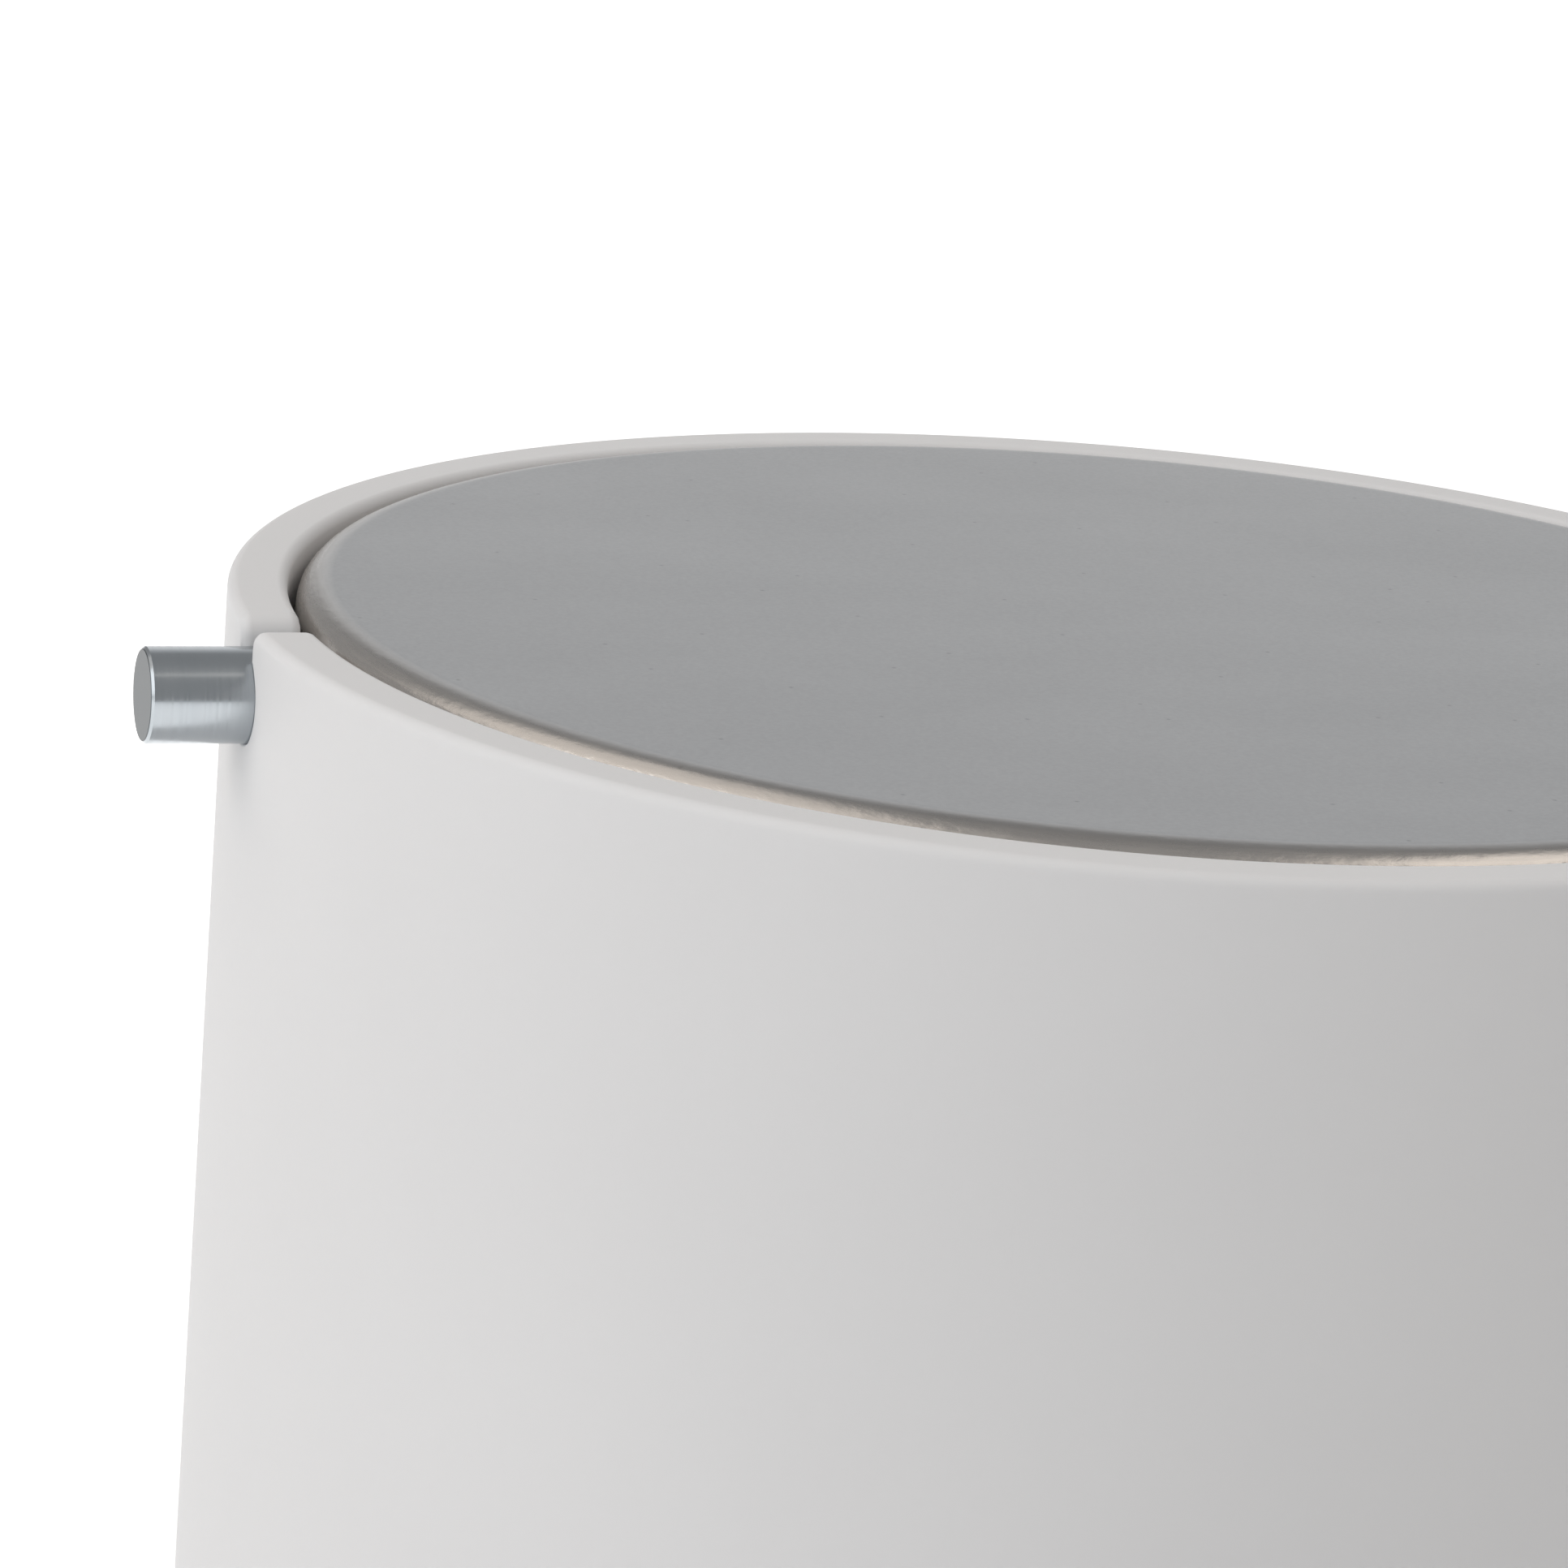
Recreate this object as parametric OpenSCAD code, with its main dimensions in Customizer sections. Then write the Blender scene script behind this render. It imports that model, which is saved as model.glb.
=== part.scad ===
// Table-top canister with a flip-over lid.
// A straight white rubber vessel holds a flush steel disc lid. The lid turns on one round
// rod whose ends snap through narrow necks into two keyholes in the vessel's rim.
// Origin: centre of the underside. +Z runs up to the rim, the lid's rod lies along X.

/* [Vessel] */
// Outer diameter of the vessel
vessel_d = 115; // [80:1:180]
// Height of the vessel up to its rim
vessel_h = 155; // [100:1:260]
// Thickness of the side wall
wall_t = 3.8; // [3:0.1:6]
// Thickness of the floor above the base plate
floor_t = 3.5; // [2:0.1:8]
// Radius of both edges of the rim, which runs on around the lips and down the necks
rim_round = 0.7; // [0.3:0.05:1]
// Radius of the outer edge at the base
base_round = 1.5; // [0.5:0.1:3]
// Radius of the corner between the wall and the floor, inside
corner_round = 4; // [1:0.5:10]

/* [Keyholes] */
// Depth of the rod's axis below the rim
axle_drop = 4.6; // [4.5:0.1:8]
// Width of the neck between the rim and the round hole
neck_w = 2.7; // [1.5:0.1:4]
// Radius of the two lips that lead into the neck
lip_round = 1.3; // [1.1:0.1:1.5]
// Radius of the edge around the round hole, on both faces of the wall
mouth_round = 0.25; // [0.1:0.05:0.5]

/* [Axle rod] */
// Diameter of the rod
axle_d = 6; // [5:0.1:7]
// How far each end of the rod stands out of the wall
axle_reach = 6.3; // [2:0.1:15]
// Chamfer on both ends of the rod
axle_ease = 0.2; // [0.1:0.05:0.5]
// Radial clearance of the rod in the keyholes and in the core
axle_clear = 0.05; // [0.02:0.01:0.1]
// Distance of each clamp from the middle of the rod
clamp_x = 26; // [15:1:30]
// Depth of the flats that the clamps sit on
flat_depth = 1.1; // [0.6:0.1:1.5]

/* [Lid] */
// Thickness of the lid over both pans
lid_t = 9.8; // [9:0.1:13]
// Radius of the lid's drawn edge
lid_edge_round = 2.1; // [1.5:0.1:3]
// Smallest gap between the turning lid and the wall
lid_gap = 0.5; // [0.3:0.05:1.5]
// Sheet thickness of the pans
pan_t = 0.8; // [0.5:0.1:1]
// Gap between the two pans at the lid's middle plane
seam_gap = 0.15; // [0.05:0.05:0.5]
// Thickness of the bonding film under each pan
film_t = 0.2; // [0.1:0.05:0.3]
// Margin of the bonding film inside the flat of the pan
film_margin = 1.5; // [0.5:0.5:5]

/* [Core] */
// Gap between the core's edge and the pans
core_gap = 0.2; // [0.1:0.05:0.5]
// Width of the core's outer ring
core_ring_w = 5; // [3:0.5:10]
// Width of the bar that carries the rod
core_bar_w = 24; // [20:1:36]
// Width of the ribs
core_rib_w = 2; // [1:0.25:4]
// Angle between neighbouring ribs
core_rib_angle = 30; // [20:5:45]

/* [Clamps] */
// Length of a clamp along the rod
clamp_len = 10; // [6:0.5:14]
// Width of a clamp across the rod
clamp_w = 20; // [17:0.5:24]
// Sheet thickness of a clamp
clamp_t = 1; // [0.5:0.1:1.4]
// Distance between the two screws of a clamp
screw_pitch = 13; // [12:0.5:16]
// Shank diameter of a clamp screw
screw_d = 2.5; // [2:0.1:3]
// Head diameter of a clamp screw
screw_head_d = 4.5; // [4:0.1:5.5]
// Width across the flats of the screw's socket
screw_socket_w = 1.5; // [1:0.1:2]
// Depth of the screw's socket
screw_socket_depth = 0.5; // [0.3:0.1:0.8]
// Clearance around clamps and screws
part_clear = 0.1; // [0.05:0.01:0.2]

/* [Base plate] */
// Diameter of the base plate
plate_d = 98; // [50:1:160]
// Thickness of the base plate
plate_t = 2; // [1:0.1:4]
// Diameter of the hole in the middle of the base plate
plate_hole_d = 8; // [4:1:20]
// Height of the lip that holds the base plate in
plate_lip_h = 1.2; // [0.8:0.1:3]
// How far the lip reaches in under the base plate
plate_lip_w = 1; // [0.5:0.1:2]
// Clearance around the base plate
plate_clear = 0.15; // [0.05:0.05:0.3]

/* [Hidden] */
$fn = 96;
// What a cutting shape reaches past the surface it cuts
over = 1;

vessel_r = vessel_d / 2;
bore_r = vessel_r - wall_t;
floor_z = plate_lip_h + plate_t + 2 * plate_clear + floor_t;

axle_z = vessel_h - axle_drop;
axle_hole_r = axle_d / 2 + axle_clear;
axle_len = vessel_d + 2 * axle_reach;
flat_z = axle_d / 2 - flat_depth;

// The lid's edge stays inside a sphere around the rod's middle, so the lid turns right over
lid_corner_z = lid_t / 2 - lid_edge_round;
lid_flat_r = sqrt(pow(bore_r - lid_gap - lid_edge_round, 2) - pow(lid_corner_z, 2));
lid_r = lid_flat_r + lid_edge_round;

core_r = lid_r - pan_t - core_gap;
core_t = lid_t - 2 * (pan_t + film_t);
core_edge_round = lid_edge_round - pan_t + core_gap;
film_r = lid_flat_r - film_margin;
screw_head_t = core_t / 2 - flat_z - clamp_t;
screw_tip_z = 1 - core_t / 2;

RUBBER_WHITE = "#DEDDDC";
STEEL_SATIN = "#9B9C9D";
STEEL_BRIGHT = "#8F979C";
STEEL_ZINC = "#A9ADB0";
CORE_GREY = "#6D7073";
FILM_CLEAR = "#D8D3C4";
SCREW_DARK = "#55585A";

// ---- shared outlines -------------------------------------------------------------------

// Half section of a disc from the axis out to r, with its lower and upper edge rounded
module disc_section(r, z0, z1, round_low, round_high) {
    translate([0, z0 + round_low]) square([r, z1 - z0 - round_low - round_high]);
    translate([0, z0]) square([r - round_low, round_low + round_high]);
    translate([0, z1 - round_high - round_low]) square([r - round_high, round_low + round_high]);
    translate([r - round_low, z0 + round_low]) circle(r = round_low);
    translate([r - round_high, z1 - round_high]) circle(r = round_high);
}

// What rounding one convex corner takes off: a square with a quarter of a circle left in it
module corner_loss(round) {
    difference() {
        square(round + over);
        circle(r = round);
    }
}

// A round bar along X, from x0 over the given length
module rod_x(x0, len, r) {
    translate([x0, 0, 0]) rotate([0, 90, 0]) cylinder(h = len, r = r);
}

// ---- vessel ----------------------------------------------------------------------------

// Section of an opening through the wall, from its middle line out to half_w in X. The way
// through lies along Y, between the wall's two faces, and both edges are rounded
module opening_section(half_w, round) {
    difference() {
        translate([0, bore_r - over]) square([half_w + round, wall_t + 2 * over]);
        translate([half_w, bore_r + round]) square([round + over, wall_t - 2 * round]);
        for (y = [bore_r + round, vessel_r - round]) translate([half_w + round, y]) circle(r = round);
    }
}

// One lip beside the neck: a round disc as thick as the wall, with the rim's own edges
module lip() {
    translate([bore_r, 0, 0]) rotate([90, 0, 90])
        rotate_extrude() disc_section(lip_round, 0, wall_t, rim_round, rim_round);
}

// Everything that one keyhole takes out of the wall at +X, around the rod's axis
module keyhole_cut() {
    lip_y = neck_w / 2 + lip_round;
    lip_z = axle_drop - lip_round;
    // round hole
    rotate([0, 90, 0]) rotate_extrude() opening_section(axle_hole_r, mouth_round);
    // neck between the hole and the lips
    for (side = [0, 1]) mirror([0, side, 0]) linear_extrude(lip_z)
        mirror([1, -1]) opening_section(neck_w / 2, rim_round);
    // mouth of the neck, left open between the two lips
    difference() {
        translate([bore_r - over, -lip_y, lip_z]) cube([wall_t + 2 * over, 2 * lip_y, lip_round + over]);
        for (side = [-1, 1]) translate([0, side * lip_y, lip_z]) lip();
    }
}

module vessel_section() {
    pocket_r = plate_d / 2 + plate_clear;
    difference() {
        disc_section(vessel_r, 0, vessel_h, base_round, rim_round);
        // inside of the vessel
        disc_section(bore_r, floor_z, vessel_h + corner_round + over, corner_round, 0.1);
        // inner edge of the rim
        translate([bore_r + rim_round, vessel_h - rim_round]) mirror([1, 0]) corner_loss(rim_round);
        // pocket of the base plate and the opening below it
        translate([0, plate_lip_h]) square([pocket_r, plate_t + 2 * plate_clear]);
        translate([0, -over]) square([plate_d / 2 - plate_lip_w, plate_lip_h + 2 * over]);
    }
}

module vessel_shell() {
    color(RUBBER_WHITE) difference() {
        rotate_extrude() vessel_section();
        for (turn = [0, 180])
            translate([0, 0, axle_z]) rotate([0, 0, turn]) keyhole_cut();
    }
}

// Steel disc that stiffens the soft floor and keeps the vessel standing
module base_plate() {
    color(STEEL_ZINC) translate([0, 0, plate_lip_h + plate_clear]) difference() {
        cylinder(h = plate_t, d = plate_d);
        translate([0, 0, -over]) cylinder(h = plate_t + 2 * over, d = plate_hole_d);
    }
}

// ---- lid -------------------------------------------------------------------------------

// Drawn pan, open downwards, around the rod's middle
module pan() {
    difference() {
        rotate_extrude() difference() {
            disc_section(lid_r, -lid_t / 2, lid_t / 2, lid_edge_round, lid_edge_round);
            disc_section(lid_r - pan_t, pan_t - lid_t / 2, lid_t / 2 - pan_t,
                lid_edge_round - pan_t, lid_edge_round - pan_t);
            translate([0, -lid_t]) square([vessel_r, lid_t + seam_gap / 2]);
        }
        rod_x(-vessel_r, vessel_d, axle_hole_r);
    }
}

module lid_top_pan() {
    color(STEEL_SATIN) translate([0, 0, axle_z]) pan();
}

module lid_bottom_pan() {
    color(STEEL_SATIN) translate([0, 0, axle_z]) mirror([0, 0, 1]) pan();
}

module bond_film(z) {
    color(FILM_CLEAR) translate([0, 0, axle_z + z]) cylinder(h = film_t, r = film_r);
}

module bond_film_top() {
    bond_film(core_t / 2);
}

module bond_film_bottom() {
    bond_film(-core_t / 2 - film_t);
}

// The core's plan: outer ring, bar under the rod and ribs across the two open halves
module core_plan() {
    difference() {
        circle(r = core_r);
        difference() {
            circle(r = core_r - core_ring_w);
            translate([-core_r, -core_bar_w / 2]) square([2 * core_r, core_bar_w]);
            for (turn = [core_rib_angle : core_rib_angle : 180 - core_rib_angle])
                rotate(turn) translate([-core_r, -core_rib_w / 2]) square([2 * core_r, core_rib_w]);
        }
    }
}

module lid_core() {
    color(CORE_GREY) translate([0, 0, axle_z]) difference() {
        intersection() {
            translate([0, 0, -core_t / 2]) linear_extrude(core_t) core_plan();
            rotate_extrude()
                disc_section(core_r, -core_t / 2, core_t / 2, core_edge_round, core_edge_round);
        }
        // channel of the rod, open upwards
        rod_x(-core_r - over, 2 * (core_r + over), axle_hole_r);
        translate([-core_r - over, -axle_hole_r, 0])
            cube([2 * (core_r + over), 2 * axle_hole_r, core_t]);
        // seats of the clamps and holes of their screws
        for (side = [-1, 1]) translate([side * clamp_x, 0, 0]) {
            translate([-clamp_len / 2 - part_clear, -clamp_w / 2 - part_clear, flat_z])
                cube([clamp_len + 2 * part_clear, clamp_w + 2 * part_clear, core_t]);
            for (y = [-screw_pitch / 2, screw_pitch / 2])
                translate([0, y, screw_tip_z - part_clear])
                    cylinder(h = core_t, d = screw_d + 2 * part_clear);
        }
    }
}

module axle_rod() {
    color(STEEL_BRIGHT) translate([0, 0, axle_z]) difference() {
        union() {
            rod_x(axle_ease - axle_len / 2, axle_len - 2 * axle_ease, axle_d / 2);
            for (turn = [0, 180]) rotate([0, 0, turn])
                translate([axle_len / 2 - axle_ease, 0, 0]) rotate([0, 90, 0])
                    cylinder(h = axle_ease, r1 = axle_d / 2, r2 = axle_d / 2 - axle_ease);
        }
        // flats that stop the rod turning or sliding in the core
        for (side = [-1, 1])
            translate([side * clamp_x - clamp_len / 2 - part_clear, -axle_d / 2, flat_z])
                cube([clamp_len + 2 * part_clear, axle_d, axle_d]);
    }
}

module axle_clamp(side) {
    color(STEEL_ZINC) translate([side * clamp_x, 0, axle_z + flat_z]) difference() {
        translate([-clamp_len / 2, -clamp_w / 2, 0]) cube([clamp_len, clamp_w, clamp_t]);
        for (y = [-screw_pitch / 2, screw_pitch / 2])
            translate([0, y, -over]) cylinder(h = clamp_t + 2 * over, d = screw_d + 2 * part_clear);
    }
}

module axle_clamp_left() {
    axle_clamp(-1);
}

module axle_clamp_right() {
    axle_clamp(1);
}

// Pan-head screw, standing on the clamp, with its head flush with the core
module clamp_screw() {
    difference() {
        union() {
            translate([0, 0, flat_z + clamp_t]) cylinder(h = screw_head_t, d = screw_head_d);
            translate([0, 0, screw_tip_z])
                cylinder(h = flat_z + clamp_t - screw_tip_z + screw_head_t / 2, d = screw_d);
        }
        translate([0, 0, core_t / 2 - screw_socket_depth])
            cylinder(h = screw_socket_depth + over, d = screw_socket_w / cos(30), $fn = 6);
    }
}

module clamp_screws() {
    color(SCREW_DARK) translate([0, 0, axle_z])
        for (side = [-1, 1], y = [-screw_pitch / 2, screw_pitch / 2])
            translate([side * clamp_x, y, 0]) clamp_screw();
}

vessel_shell();
base_plate();
lid_top_pan();
lid_bottom_pan();
lid_core();
bond_film_top();
bond_film_bottom();
axle_rod();
axle_clamp_left();
axle_clamp_right();
clamp_screws();
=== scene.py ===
import math

import bmesh
import bpy
from mathutils import Matrix, Vector


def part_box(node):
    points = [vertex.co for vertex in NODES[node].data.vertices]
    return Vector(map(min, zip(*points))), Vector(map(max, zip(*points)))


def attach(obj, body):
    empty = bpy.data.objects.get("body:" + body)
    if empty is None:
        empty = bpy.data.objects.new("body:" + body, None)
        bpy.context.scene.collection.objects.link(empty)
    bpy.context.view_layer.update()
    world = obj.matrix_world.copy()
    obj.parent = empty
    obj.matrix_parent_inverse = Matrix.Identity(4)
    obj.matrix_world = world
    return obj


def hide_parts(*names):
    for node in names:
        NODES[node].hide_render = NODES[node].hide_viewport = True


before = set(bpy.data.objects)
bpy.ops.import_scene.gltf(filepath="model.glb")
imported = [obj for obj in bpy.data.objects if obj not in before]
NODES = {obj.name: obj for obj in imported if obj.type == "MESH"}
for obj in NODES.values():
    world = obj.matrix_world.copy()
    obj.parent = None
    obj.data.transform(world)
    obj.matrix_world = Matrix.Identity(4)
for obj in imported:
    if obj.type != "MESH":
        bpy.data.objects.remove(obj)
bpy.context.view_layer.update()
scene = bpy.context.scene

MM = 0.001

# ---- sizes of the frame, and those that it doesn't tell ----------------------------------
AXLE_CLEAR = 0.05 * MM
PLATE_CLEAR = 0.15 * MM
PLATE_LIP_W = 1 * MM

VESSEL_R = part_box("vessel_shell")[1].y
RIM_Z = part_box("vessel_shell")[1].z
WALL = 3.8 * MM
BORE_R = VESSEL_R - WALL
RIM_ROUND = 0.7 * MM
BASE_ROUND = 1.5 * MM
CORNER_ROUND = 4 * MM
FLOOR = 3.5 * MM
PLATE_POCKET_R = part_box("base_plate")[1].y + PLATE_CLEAR
PLATE_POCKET_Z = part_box("base_plate")[1].z + PLATE_CLEAR
PLATE_LIP_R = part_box("base_plate")[1].y - PLATE_LIP_W
PLATE_LIP_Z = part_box("base_plate")[0].z - PLATE_CLEAR

AXLE_Z = sum(c.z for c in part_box("axle_rod")) / 2
AXLE_HOLE_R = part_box("axle_rod")[1].y + AXLE_CLEAR
BAR_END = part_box("axle_rod")[1].x
MOUTH_ROUND = 0.25 * MM
NECK = 2.7 * MM
LIP_ROUND = 1.3 * MM

LID_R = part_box("lid_top_pan")[1].y
LID_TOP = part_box("lid_top_pan")[1].z
LID_EDGE = 2.1 * MM
LID_FLAT_R = LID_R - LID_EDGE
SHEET = 0.8 * MM
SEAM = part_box("lid_top_pan")[0].z


# ---- small tools -----------------------------------------------------------------------
def linear(hex_colour):
    """An sRGB hex colour as the linear values that the shader sockets take."""
    parts = [int(hex_colour[i : i + 2], 16) / 255 for i in (1, 3, 5)]
    return [p / 12.92 if p <= 0.04045 else ((p + 0.055) / 1.055) ** 2.4 for p in parts] + [1.0]


def add(tree, kind, settings=None, **sockets):
    """Adds one node. Settings are its properties. Sockets are its inputs, by name or as i0, i1:
    a value is set on them, and an output, or a node's first output, is linked to them."""
    node = tree.nodes.new(kind)
    for name, value in (settings or {}).items():
        setattr(node, name, value)
    for name, value in sockets.items():
        by_number = name[0] == "i" and name[1:].isdigit()
        socket = node.inputs[int(name[1:]) if by_number else name.replace("_", " ")]
        if isinstance(value, bpy.types.Node):
            value = value.outputs[0]
        if isinstance(value, bpy.types.NodeSocket):
            tree.links.new(value, socket)
        else:
            socket.default_value = value
    return node


def shading(name):
    """A new material, its empty tree, and the object's own coordinates in metres."""
    made = bpy.data.materials.new(name)
    made.use_nodes = True
    tree = made.node_tree
    tree.nodes.clear()
    place = add(tree, "ShaderNodeTexCoord").outputs["Object"]
    return made, tree, place


NOISE = "ShaderNodeTexNoise"
RANGE = "ShaderNodeMapRange"
VECTOR = "ShaderNodeVectorMath"
MATH = "ShaderNodeMath"
MIX = "ShaderNodeMix"
BUMP = "ShaderNodeBump"
SURFACE = "ShaderNodeBsdfPrincipled"
OUTPUT = "ShaderNodeOutputMaterial"
DIVIDE = {"operation": "DIVIDE"}
COLOURS = {"data_type": "RGBA"}
# Most of a noise lies between these two values, so a range is spread over them
MIDDLE = {"From_Min": 0.3, "From_Max": 0.7}


# ---- materials -------------------------------------------------------------------------
def silicone_rubber_moulded():
    """White silicone rubber, compression moulded in a spark-eroded mould. The eye gets an even,
    matt white with soft edges that let a little light in, and a faint grain."""
    made, tree, place = shading("silicone_rubber_moulded")
    # the mould's grain is finer than this, and is drawn as coarse as shows
    grain = add(tree, NOISE, Vector=place, Scale=1 / (0.35 * MM), Detail=3)
    # the mix flows in cloudy patches a few centimetres wide
    cloud = add(tree, NOISE, Vector=place, Scale=1 / (30 * MM), Detail=2)
    white = add(tree, MIX, COLOURS, Factor=cloud, i6=linear("#E3E3E4"), i7=linear("#E7E7E8"))
    rough = add(tree, RANGE, Value=grain, To_Min=0.56, To_Max=0.66, **MIDDLE)
    relief = add(tree, BUMP, Strength=0.25, Distance=0.02 * MM, Height=grain)
    shader = add(
        tree, SURFACE, Base_Color=white.outputs[2], Roughness=rough, IOR=1.41, Normal=relief,
        Subsurface_Weight=0.12, Subsurface_Radius=(1.0, 0.9, 0.9), Subsurface_Scale=0.8 * MM,
    )
    add(tree, OUTPUT, Surface=shader)
    return made


def stainless_sheet_drawn():
    """Satin stainless sheet, deep drawn, with its edge polished on a wheel. The flat is an even soft
    grey with a few specks and wiped patches. The drawn edge is painted brighter and browner, a painted
    reflection of warm light, and carries fine marks that run round it and the uneven ripple that
    drawing leaves."""
    made, tree, place = shading("stainless_sheet_drawn")
    on_plan = add(tree, VECTOR, {"operation": "MULTIPLY"}, i0=place, i1=(1, 1, 0))
    radius = add(tree, VECTOR, {"operation": "LENGTH"}, i0=on_plan).outputs["Value"]
    edge = add(tree, RANGE, Value=radius, From_Min=LID_FLAT_R - 0.2 * MM, From_Max=LID_R - 0.3 * MM)
    # around the disc: the angle turned into lengths of edge, so that marks run round it
    parts = add(tree, "ShaderNodeSeparateXYZ", Vector=place).outputs
    angle = add(tree, MATH, {"operation": "ARCTAN2"}, i0=parts[1], i1=parts[0])
    length = add(tree, MATH, {"operation": "MULTIPLY"}, i0=angle, i1=LID_R)
    around = add(tree, "ShaderNodeCombineXYZ", X=length, Y=radius, Z=parts[2])
    wheel = add(tree, VECTOR, DIVIDE, i0=around, i1=(4 * MM, 0.25 * MM, 0.25 * MM))
    marks = add(tree, NOISE, Vector=wheel, Scale=1, Detail=3)
    waves = add(tree, VECTOR, DIVIDE, i0=around, i1=(1.2 * MM, 0.6 * MM, 0.6 * MM))
    ripple = add(tree, NOISE, Vector=waves, Scale=1, Detail=3)
    # the satin's own grain is a hundredth of a millimetre, and is drawn as coarse as shows
    satin = add(tree, NOISE, Vector=place, Scale=1 / (0.3 * MM), Detail=3)
    strokes = add(tree, VECTOR, DIVIDE, i0=place, i1=(22 * MM, 13 * MM, 22 * MM))
    wiped = add(tree, NOISE, Vector=strokes, Scale=1, Detail=4)
    # pits and specks a few tenths of a millimetre wide, about one to a square centimetre
    flat_cells = {"voronoi_dimensions": "2D"}
    cells = add(tree, "ShaderNodeTexVoronoi", flat_cells, Vector=place, Scale=1 / (11 * MM))
    speck = add(tree, RANGE, Value=cells, From_Min=0.006, From_Max=0.018, To_Min=1, To_Max=0)
    flat = add(tree, MIX, COLOURS, Factor=speck, i6=linear("#8A8B8D"), i7=linear("#717374")).outputs[2]
    # the edge's brighter, browner colour is a painted reflection of warm light; the steel there is the
    # same as the flat's
    colour = add(tree, MIX, COLOURS, Factor=edge, i6=flat, i7=linear("#C0BBB6"))
    patches = add(tree, RANGE, Value=wiped, To_Min=0.325, To_Max=0.345, **MIDDLE)
    grains = add(tree, RANGE, Value=satin, To_Min=-0.02, To_Max=0.02, **MIDDLE)
    flat_rough = add(tree, MATH, {"operation": "ADD"}, i0=patches, i1=grains)
    edge_rough = add(tree, RANGE, Value=marks, To_Min=0.19, To_Max=0.32, **MIDDLE)
    rough = add(tree, MIX, Factor=edge, i2=flat_rough, i3=edge_rough)
    fine = add(tree, MIX, Factor=edge, i2=satin, i3=marks)
    fine_relief = add(tree, BUMP, Strength=0.12, Distance=0.01 * MM, Height=fine)
    slow = add(tree, MATH, {"operation": "MULTIPLY"}, i0=edge, i1=ripple)
    relief = add(tree, BUMP, Strength=0.8, Distance=0.06 * MM, Height=slow, Normal=fine_relief)
    shader = add(
        tree, SURFACE, Base_Color=colour.outputs[2], Metallic=1.0, Roughness=rough, Normal=relief
    )
    add(tree, OUTPUT, Surface=shader)
    return made


def steel_bar_ground():
    """Centreless ground stainless bar. It is smooth and cool grey, with sharp reflections that the
    fine rings of the grinding wheel break up across the bar. Its ends are faced and duller, and are
    painted darker: painted shade on the end faces, which are the same steel."""
    made, tree, place = shading("steel_bar_ground")
    # the wheel's rings are finer than this, and are drawn as coarse as shows
    wheel = add(tree, VECTOR, DIVIDE, i0=place, i1=(0.12 * MM, 5 * MM, 5 * MM))
    rings = add(tree, NOISE, Vector=wheel, Scale=1, Detail=3)
    passes = add(tree, VECTOR, DIVIDE, i0=place, i1=(1.1 * MM, 8 * MM, 8 * MM))
    bands = add(tree, NOISE, Vector=passes, Scale=1, Detail=2)
    along = add(tree, "ShaderNodeSeparateXYZ", Vector=place)
    reach = add(tree, MATH, {"operation": "ABSOLUTE"}, i0=along)
    faced = add(tree, RANGE, Value=reach, From_Min=BAR_END - 0.06 * MM, From_Max=BAR_END - 0.02 * MM)
    ground = add(tree, MIX, COLOURS, Factor=bands, i6=linear("#A8AEB3"), i7=linear("#B0B5B9")).outputs[2]
    # the faced ends get a much darker colour: painted shade, since the steel there is the same as the
    # bar's
    colour = add(tree, MIX, COLOURS, Factor=faced, i6=ground, i7=linear("#4C5154"))
    ground_rough = add(tree, RANGE, Value=rings, To_Min=0.17, To_Max=0.25, **MIDDLE)
    rough = add(tree, MIX, Factor=faced, i2=ground_rough, i3=0.38)
    relief = add(tree, BUMP, Strength=0.1, Distance=0.004 * MM, Height=rings)
    shader = add(
        tree, SURFACE, Base_Color=colour.outputs[2], Metallic=1.0, Roughness=rough, Normal=relief
    )
    add(tree, OUTPUT, Surface=shader)
    return made


def steel_sheet_zinc_plated():
    """Stamped steel sheet, barrel plated with bright zinc. The eye gets a cool silver with cloudy
    patches and short tumbling scratches."""
    made, tree, place = shading("steel_sheet_zinc_plated")
    cloud = add(tree, NOISE, Vector=place, Scale=1 / (6 * MM), Detail=3)
    tumbled = add(tree, VECTOR, DIVIDE, i0=place, i1=(3 * MM, 0.3 * MM, 3 * MM))
    scratches = add(tree, NOISE, Vector=tumbled, Scale=1, Detail=2)
    silver = add(tree, MIX, COLOURS, Factor=cloud, i6=linear("#AEB3B6"), i7=linear("#C0C2C0"))
    rough = add(tree, RANGE, Value=cloud, To_Min=0.26, To_Max=0.4, **MIDDLE)
    relief = add(tree, BUMP, Strength=0.15, Distance=0.01 * MM, Height=scratches)
    shader = add(
        tree, SURFACE, Base_Color=silver.outputs[2], Metallic=1.0, Roughness=rough, Normal=relief
    )
    add(tree, OUTPUT, Surface=shader)
    return made


def screw_steel_black_zinc():
    """Black zinc on cold-headed screws: a dark, slightly oily grey, worn paler in soft patches."""
    made, tree, place = shading("screw_steel_black_zinc")
    worn = add(tree, NOISE, Vector=place, Scale=1 / (0.8 * MM), Detail=3)
    dark = add(tree, MIX, COLOURS, Factor=worn, i6=linear("#505356"), i7=linear("#6C6F71"))
    rough = add(tree, RANGE, Value=worn, To_Min=0.3, To_Max=0.42, **MIDDLE)
    shader = add(tree, SURFACE, Base_Color=dark.outputs[2], Metallic=1.0, Roughness=rough)
    add(tree, OUTPUT, Surface=shader)
    return made


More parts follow.
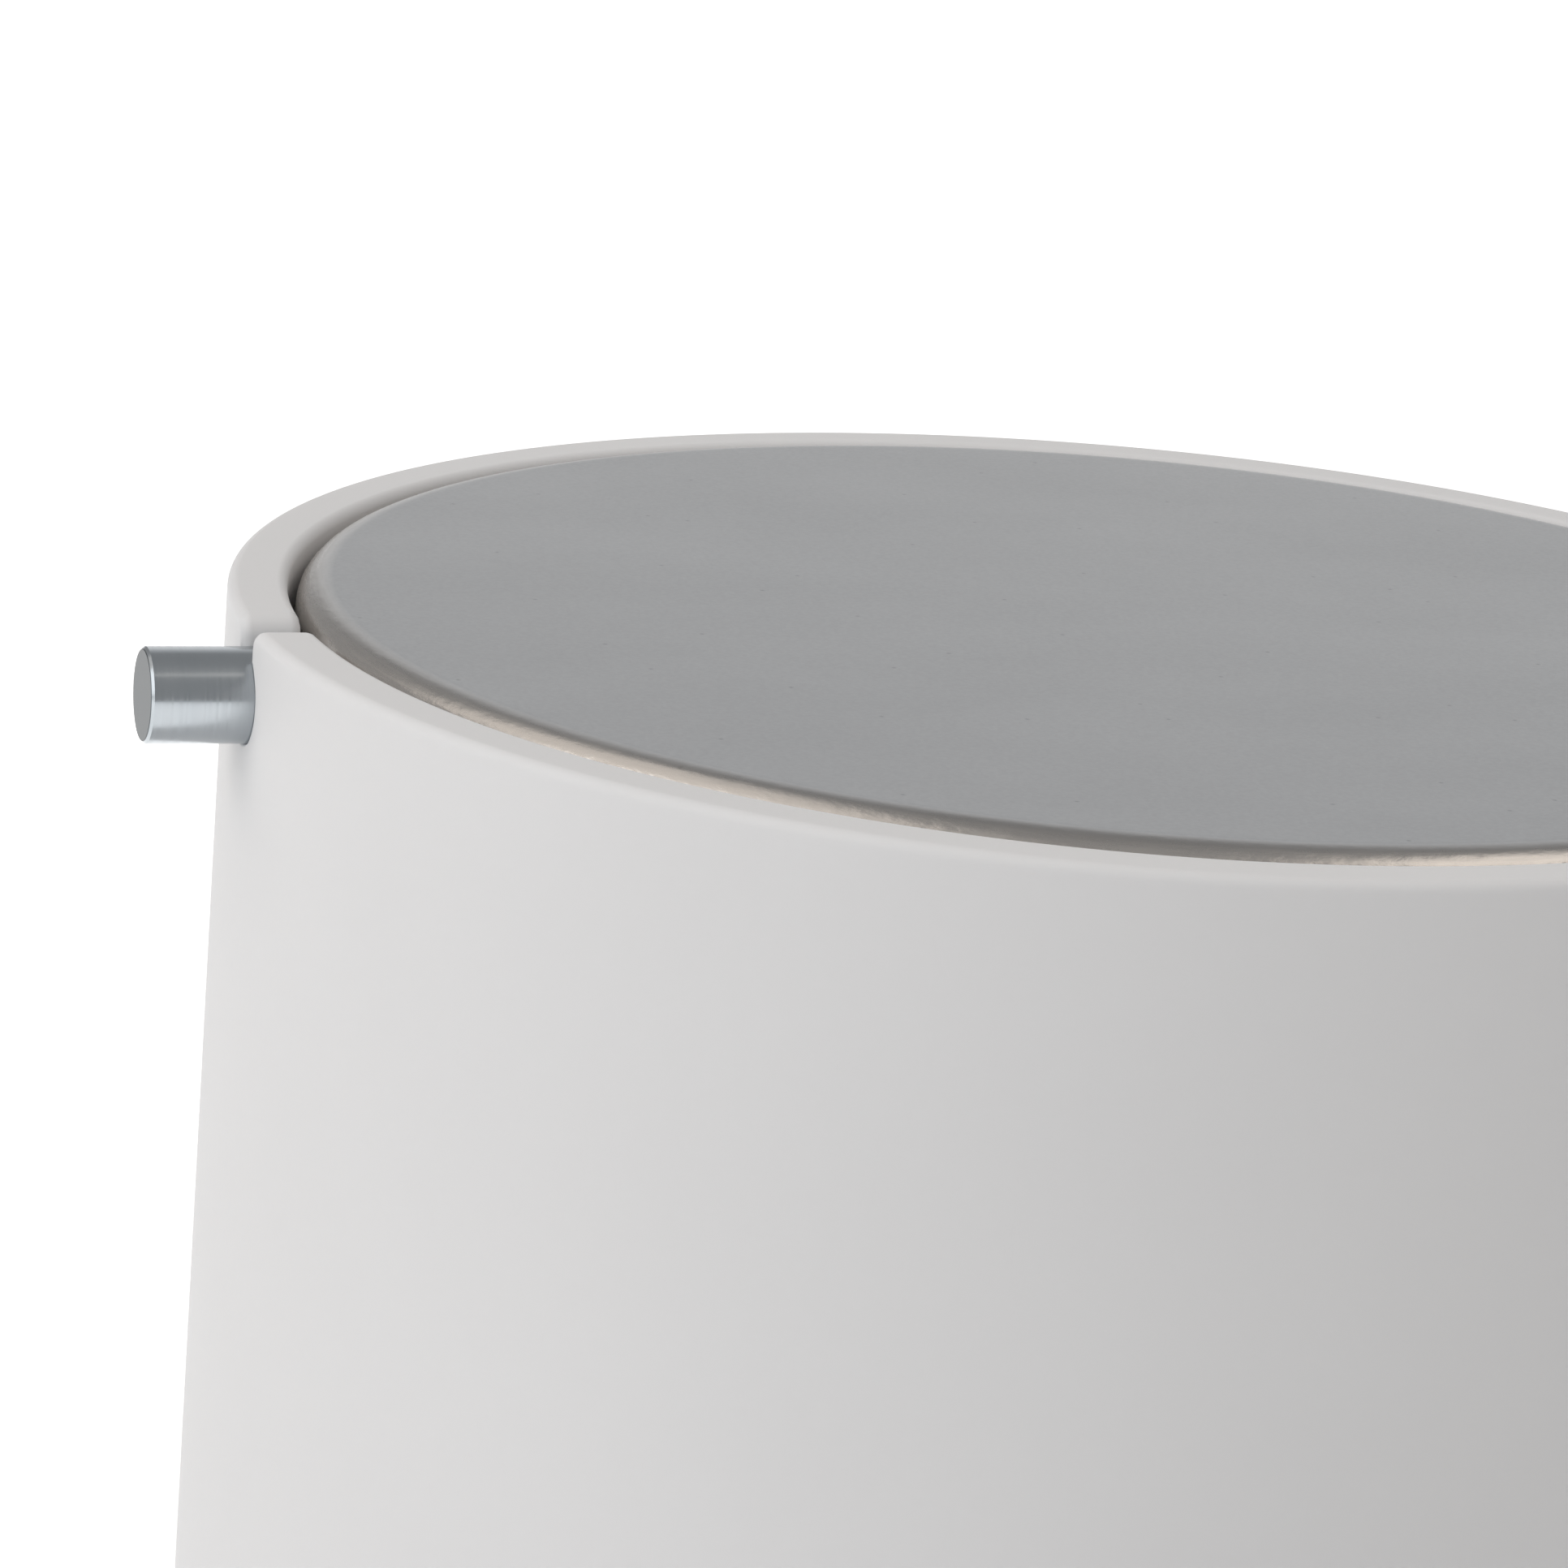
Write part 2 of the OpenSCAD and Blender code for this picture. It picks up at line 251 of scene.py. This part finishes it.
def abs_moulded_grey():
    """Injection moulded grey ABS from a lightly sanded mould: matt, with an even fine grain."""
    made, tree, place = shading("abs_moulded_grey")
    grain = add(tree, NOISE, Vector=place, Scale=1 / (0.3 * MM), Detail=2)
    flow = add(tree, NOISE, Vector=place, Scale=1 / (25 * MM), Detail=1)
    grey = add(tree, MIX, COLOURS, Factor=flow, i6=linear("#6A6D70"), i7=linear("#707376"))
    rough = add(tree, RANGE, Value=grain, To_Min=0.46, To_Max=0.58, **MIDDLE)
    relief = add(tree, BUMP, Strength=0.2, Distance=0.02 * MM, Height=grain)
    shader = add(tree, SURFACE, Base_Color=grey.outputs[2], Roughness=rough, Normal=relief)
    add(tree, OUTPUT, Surface=shader)
    return made


def adhesive_film_pressed():
    """Pressure-sensitive adhesive film: clear and yellowish, with small trapped bubbles."""
    made, tree, place = shading("adhesive_film_pressed")
    cells = add(tree, "ShaderNodeTexVoronoi", Vector=place, Scale=1 / (3 * MM))
    bubble = add(tree, RANGE, Value=cells, From_Min=0.1, From_Max=0.16, To_Min=1, To_Max=0)
    colour = add(tree, MIX, COLOURS, Factor=bubble, i6=linear("#D8D3C4"), i7=linear("#E6E3DA"))
    rough = add(tree, RANGE, Value=bubble, To_Min=0.25, To_Max=0.5)
    shader = add(
        tree, SURFACE, Base_Color=colour.outputs[2], Roughness=rough, Transmission_Weight=0.3
    )
    add(tree, OUTPUT, Surface=shader)
    return made


# ---- pieces ----------------------------------------------------------------------------
# Steps around the vessel and the lid, along a quarter round, around a keyhole and around the rod
TURNS = 384
ARC_STEPS = 8
KEYHOLE_STEPS = 40
ROD_STEPS = 96
# A ring of points this far from a quarter round keeps the flat beside it evenly shaded
SUPPORT = 0.5 * MM
SAME_POINT = 0.001 * MM
SHARP = math.radians(40)


def arc(centre, radius, start, end):
    """Points on a quarter round, from one angle to another in degrees."""
    angles = [math.radians(start + (end - start) * i / ARC_STEPS) for i in range(ARC_STEPS + 1)]
    return [(centre[0] + radius * math.cos(a), centre[1] + radius * math.sin(a)) for a in angles]


def piece(name, mesh, body, node):
    """Sets a shell in the CAD node's place, with its true edges sharp and the rest smooth."""
    for edge in mesh.edges:
        edge.smooth = not edge.is_manifold or edge.calc_face_angle(0) < SHARP
    for face in mesh.faces:
        face.smooth = True
    data = bpy.data.meshes.new(name)
    mesh.to_mesh(data)
    mesh.free()
    made = bpy.data.objects.new(name, data)
    scene.collection.objects.link(made)
    even = made.modifiers.new("even_shading", "WEIGHTED_NORMAL")
    even.keep_sharp = True
    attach(made, body)
    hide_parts(node)
    return made


def lathe(section):
    """Turns a section, given as radius and height from the axis out and back, into a closed solid."""
    mesh = bmesh.new()
    points = [mesh.verts.new((r, 0, z)) for r, z in section]
    edges = [mesh.edges.new(pair) for pair in zip(points, points[1:])]
    bmesh.ops.spin(
        mesh, geom=points + edges, cent=(0, 0, 0), axis=(0, 0, 1), angle=math.tau, steps=TURNS,
        use_merge=True,
    )
    bmesh.ops.remove_doubles(mesh, verts=mesh.verts, dist=SAME_POINT)
    bmesh.ops.recalc_face_normals(mesh, faces=mesh.faces)
    return mesh


def cut(mesh, tool):
    """Takes one solid away from another."""
    both = []
    for name, source in (("blank", mesh), ("tool", tool)):
        data = bpy.data.meshes.new(name)
        source.to_mesh(data)
        source.free()
        made = bpy.data.objects.new(name, data)
        scene.collection.objects.link(made)
        both.append(made)
    blank, tool = both
    change = blank.modifiers.new("cut", "BOOLEAN")
    change.object = tool
    change.operation = "DIFFERENCE"
    change.solver = "EXACT"
    result = bmesh.new()
    result.from_object(blank, bpy.context.evaluated_depsgraph_get())
    for made in both:
        data = made.data
        bpy.data.objects.remove(made)
        bpy.data.meshes.remove(data)
    return result


def keyhole_loop(mesh, x, hole_ease, lip_ease):
    """The keyhole's outline on one plane across the wall, widened by the rounding of its edges."""
    half = NECK / 2 + lip_ease
    hole = AXLE_HOLE_R + hole_ease
    lip = LIP_ROUND - lip_ease
    lip_y = NECK / 2 + LIP_ROUND
    lip_z = RIM_Z - AXLE_Z - LIP_ROUND
    above_rim = lip_z + 3 * LIP_ROUND
    start = math.asin(half / hole)
    turns = [start + (math.tau - 2 * start) * i / KEYHOLE_STEPS for i in range(KEYHOLE_STEPS + 1)]
    outline = [(hole * math.sin(a), hole * math.cos(a)) for a in turns]
    left = [(y - lip_y, z + lip_z) for y, z in arc((0, 0), lip, 0, 90)]
    outline += left + [(-lip_y, above_rim), (lip_y, above_rim)]
    outline += [(-y, z) for y, z in reversed(left)]
    points = [mesh.verts.new((x, y, AXLE_Z + z)) for y, z in outline]
    return [mesh.edges.new((a, b)) for a, b in zip(points, points[1:] + points[:1])]


def ease(radius, depth):
    """How far a rounded edge stands back, at a depth below the face."""
    left = max(radius - depth, 0)
    return radius - math.sqrt(radius * radius - left * left)


def keyhole_tool(side):
    """What a keyhole takes out of the wall: round hole, neck and two lips, with rounded edges."""
    mesh = bmesh.new()
    depths = [RIM_ROUND * (1 - math.cos(math.pi / 2 * i / ARC_STEPS)) for i in range(ARC_STEPS + 1)]
    planes = [(BORE_R - MM, 0)] + [(BORE_R + d, d) for d in depths]
    planes += [(VESSEL_R - d, d) for d in reversed(depths)] + [(VESSEL_R + MM, 0)]
    loops = [keyhole_loop(mesh, x, ease(MOUTH_ROUND, d), ease(RIM_ROUND, d)) for x, d in planes]
    for first, second in zip(loops, loops[1:]):
        bmesh.ops.bridge_loops(mesh, edges=first + second)
    for end in (loops[0], loops[-1]):
        bmesh.ops.contextual_create(mesh, geom=end)
    if side < 0:
        half_turn = Matrix.Rotation(math.pi, 3, "Z")
        bmesh.ops.rotate(mesh, verts=mesh.verts, cent=(0, 0, 0), matrix=half_turn)
    bmesh.ops.recalc_face_normals(mesh, faces=mesh.faces)
    return mesh


def vessel_body():
    """The moulded vessel: floor, wall and rim in one turned section, then the two keyholes."""
    section = [(0, PLATE_POCKET_Z), (PLATE_POCKET_R, PLATE_POCKET_Z), (PLATE_POCKET_R, PLATE_LIP_Z)]
    section += [(PLATE_LIP_R, PLATE_LIP_Z), (PLATE_LIP_R, 0), (VESSEL_R - BASE_ROUND - SUPPORT, 0)]
    section += arc((VESSEL_R - BASE_ROUND, BASE_ROUND), BASE_ROUND, -90, 0)
    section += [(VESSEL_R, BASE_ROUND + SUPPORT), (VESSEL_R, RIM_Z - RIM_ROUND - SUPPORT)]
    section += arc((VESSEL_R - RIM_ROUND, RIM_Z - RIM_ROUND), RIM_ROUND, 0, 90)
    section += arc((BORE_R + RIM_ROUND, RIM_Z - RIM_ROUND), RIM_ROUND, 90, 180)
    floor_z = PLATE_POCKET_Z + FLOOR
    section += [(BORE_R, RIM_Z - RIM_ROUND - SUPPORT), (BORE_R, floor_z + CORNER_ROUND + SUPPORT)]
    section += arc((BORE_R - CORNER_ROUND, floor_z + CORNER_ROUND), CORNER_ROUND, 0, -90)
    section += [(BORE_R - CORNER_ROUND - SUPPORT, floor_z), (0, floor_z)]
    mesh = lathe(section)
    for side in (1, -1):
        mesh = cut(mesh, keyhole_tool(side))
    return piece("vessel_body", mesh, "vessel", "vessel_shell")


def pan_skin(name, node, up):
    """A drawn pan of the lid, opening away from its flat face, with a half round for the rod."""
    inner = LID_EDGE - SHEET
    knee = LID_TOP - LID_EDGE
    section = [(0, LID_TOP), (LID_FLAT_R - SUPPORT, LID_TOP)]
    section += arc((LID_FLAT_R, knee), LID_EDGE, 90, 0)
    section += [(LID_R, SEAM), (LID_R - SHEET, SEAM)]
    section += arc((LID_FLAT_R, knee), inner, 0, 90)
    section += [(LID_FLAT_R - SUPPORT, LID_TOP - SHEET), (0, LID_TOP - SHEET)]
    rod = bmesh.new()
    bmesh.ops.create_cone(
        rod, cap_ends=True, segments=ROD_STEPS, radius1=AXLE_HOLE_R, radius2=AXLE_HOLE_R,
        depth=4 * LID_R,
        matrix=Matrix.Translation((0, 0, AXLE_Z)) @ Matrix.Rotation(math.pi / 2, 4, "Y"),
    )
    mesh = cut(lathe(section), rod)
    if not up:
        half_turn = Matrix.Rotation(math.pi, 3, "X")
        bmesh.ops.rotate(mesh, verts=mesh.verts, cent=(0, 0, AXLE_Z), matrix=half_turn)
    return piece(name, mesh, "lid", node)


rubber = silicone_rubber_moulded()
drawn = stainless_sheet_drawn()
zinc = steel_sheet_zinc_plated()
film = adhesive_film_pressed()
FINISHES = {
    vessel_body(): rubber,
    pan_skin("lid_pan_upper", "lid_top_pan", True): drawn,
    pan_skin("lid_pan_lower", "lid_bottom_pan", False): drawn,
    NODES["vessel_shell"]: rubber,
    NODES["lid_top_pan"]: drawn,
    NODES["lid_bottom_pan"]: drawn,
    NODES["axle_rod"]: steel_bar_ground(),
    NODES["base_plate"]: zinc,
    NODES["axle_clamp_left"]: zinc,
    NODES["axle_clamp_right"]: zinc,
    NODES["clamp_screws"]: screw_steel_black_zinc(),
    NODES["lid_core"]: abs_moulded_grey(),
    NODES["bond_film_top"]: film,
    NODES["bond_film_bottom"]: film,
}
for thing, made in FINISHES.items():
    thing.data.materials.clear()
    thing.data.materials.append(made)

# ---- camera ----------------------------------------------------------------------------
# The camera stands level with a point above the rim, and the lid's rod is turned from its plane
ROD_TURN = math.radians(-21.5)
CAMERA_BACK = 363.2 * MM
CAMERA_ABOVE_RIM = 85.8 * MM
CAMERA_PAN = math.radians(3.326)
CAMERA_TILT = math.radians(-15.149)
CAMERA_ROLL = math.radians(-4.571)
SENSOR_WIDTH = 36
FOCAL_LENGTH = 133.14

turn = Matrix.Rotation(ROD_TURN, 4, "Z")
aim = (
    Matrix.Rotation(CAMERA_PAN, 4, "Z")
    @ Matrix.Rotation(CAMERA_TILT, 4, "X")
    @ Matrix.Rotation(CAMERA_ROLL, 4, "Y")
    @ Matrix.Rotation(math.radians(90), 4, "X")
)
camera_data = bpy.data.cameras.new("camera")
camera_data.sensor_width = SENSOR_WIDTH
camera_data.lens = FOCAL_LENGTH
camera_data.clip_start = 10 * MM
camera = bpy.data.objects.new("camera", camera_data)
camera.matrix_world = turn @ Matrix.Translation((0, -CAMERA_BACK, RIM_Z + CAMERA_ABOVE_RIM)) @ aim
scene.collection.objects.link(camera)
scene.camera = camera


# ---- stage and light -------------------------------------------------------------------
FLOOR_SIZE = 12
LAMP_AIM = Vector((0, 0, 0.8 * RIM_Z))
# The floor's own light grows between these two distances from the object's axis
NEAR = 90 * MM
FAR = 350 * MM
# How bright each lamp (in watts), the room and the floor's own light are
LEVELS = {
    "room_behind": 0.39, "room_front": 0.43, "key": 9.6, "high_left": 3.4, "high_right": 2.6,
    "floor_near": 0.34, "floor_far": 0.75, "floor_in_metal": 0.9,
}


def background_rays(tree):
    """Two outputs, each 1 for its rays: those from the camera, and those off metal or through glass."""
    path = add(tree, "ShaderNodeLightPath")
    gloss = path.outputs["Is Glossy Ray"]
    glass = path.outputs["Is Transmission Ray"]
    return path.outputs["Is Camera Ray"], add(tree, MATH, {"operation": "MAXIMUM"}, i0=gloss, i1=glass)


# White paper floor. Its own light is added only where the background is seen, so that it throws no
# more light on the object. It adds less near the object, where the shadow lies, and more far off,
# where the lamps don't reach
bpy.ops.mesh.primitive_plane_add(size=FLOOR_SIZE)
floor = bpy.context.object
floor.name = "floor"
made = bpy.data.materials.new("paper_white")
made.use_nodes = True
tree = made.node_tree
tree.nodes.clear()
camera_ray, gloss_ray = background_rays(tree)
floor_place = add(tree, "ShaderNodeTexCoord").outputs["Object"]
away = add(tree, VECTOR, {"operation": "LENGTH"}, i0=floor_place).outputs["Value"]
far = add(
    tree, RANGE, Value=away, From_Min=NEAR, From_Max=FAR, To_Min=LEVELS["floor_near"],
    To_Max=LEVELS["floor_far"],
)
for_camera = add(tree, MATH, {"operation": "MULTIPLY"}, i0=camera_ray, i1=far)
for_metal = add(tree, MATH, {"operation": "MULTIPLY"}, i0=gloss_ray, i1=LEVELS["floor_in_metal"])
lift = add(tree, MATH, {"operation": "ADD"}, i0=for_camera, i1=for_metal)
paper = add(tree, "ShaderNodeBsdfDiffuse", Color=linear("#F0F0F0"))
glow = add(tree, "ShaderNodeEmission", Color=(1, 1, 1, 1), Strength=lift)
both = add(tree, "ShaderNodeAddShader", i0=paper, i1=glow)
add(tree, OUTPUT, Surface=both)
floor.data.materials.append(made)

# The room: the camera sees white all round. Metal and glass see white paper low down behind the
# object and grey elsewhere, and the grey also lights the object, a little more from the camera's side
world = bpy.data.worlds.new("studio")
scene.world = world
world.use_nodes = True
tree = world.node_tree
tree.nodes.clear()
camera_ray, gloss_ray = background_rays(tree)
way = add(tree, "ShaderNodeTexCoord").outputs["Generated"]
height = add(tree, "ShaderNodeSeparateXYZ", Vector=way).outputs[2]
to_camera = turn @ Vector((0, -1, 0))
on_level = add(tree, VECTOR, {"operation": "MULTIPLY"}, i0=way, i1=(1, 1, 0))
on_level = add(tree, VECTOR, {"operation": "NORMALIZE"}, i0=on_level)
facing = add(tree, VECTOR, {"operation": "DOT_PRODUCT"}, i0=on_level, i1=to_camera).outputs["Value"]
low = add(tree, RANGE, Value=height, From_Min=0.4, From_Max=0.75, To_Min=1, To_Max=0)
behind = add(tree, RANGE, Value=facing, From_Min=-0.975, From_Max=-0.9, To_Min=1, To_Max=0)
paper = add(tree, MATH, {"operation": "MULTIPLY"}, i0=low, i1=behind)
shown = add(tree, MATH, {"operation": "MULTIPLY"}, i0=gloss_ray, i1=paper)
seen = add(tree, MATH, {"operation": "MAXIMUM"}, i0=camera_ray, i1=shown)
level = add(
    tree, RANGE, Value=facing, From_Min=-1, To_Min=LEVELS["room_behind"], To_Max=LEVELS["room_front"]
)
room = add(tree, "ShaderNodeBackground", Color=(1, 1, 1, 1), Strength=level)
white = add(tree, "ShaderNodeBackground", Color=(1, 1, 1, 1), Strength=1.0)
mix = add(tree, "ShaderNodeMixShader", Fac=seen, i1=room, i2=white)
add(tree, "ShaderNodeOutputWorld", Surface=mix)


def soft_box(name, azimuth, elevation, distance, width, height, colour):
    """A soft box aimed at the upper part of the object, at a distance and size in metres. Azimuth
    goes round from the camera's right, and 90 is behind the object."""
    a, e = math.radians(azimuth), math.radians(elevation)
    way = turn @ Vector((math.cos(a) * math.cos(e), math.sin(a) * math.cos(e), math.sin(e)))
    data = bpy.data.lights.new(name, "AREA")
    data.shape = "RECTANGLE"
    data.size = width
    data.size_y = height
    data.energy = LEVELS[name]
    data.color = linear(colour)[:3]
    made = bpy.data.objects.new(name, data)
    made.location = LAMP_AIM + way * distance
    made.rotation_mode = "QUATERNION"
    made.rotation_quaternion = (-way).to_track_quat("-Z", "Y")
    scene.collection.objects.link(made)


# the key stands low on the left, and two warmer boxes high on either side draw the lid's edge
soft_box("key", 216, 24, 1.6, 1.6, 1.2, "#FFFFFF")
soft_box("high_left", 182, 52, 1.4, 1.4, 1.1, "#FFF6EC")
soft_box("high_right", 358, 56, 1.4, 1.1, 0.65, "#FFF6EC")
scene.view_settings.view_transform = "Standard"
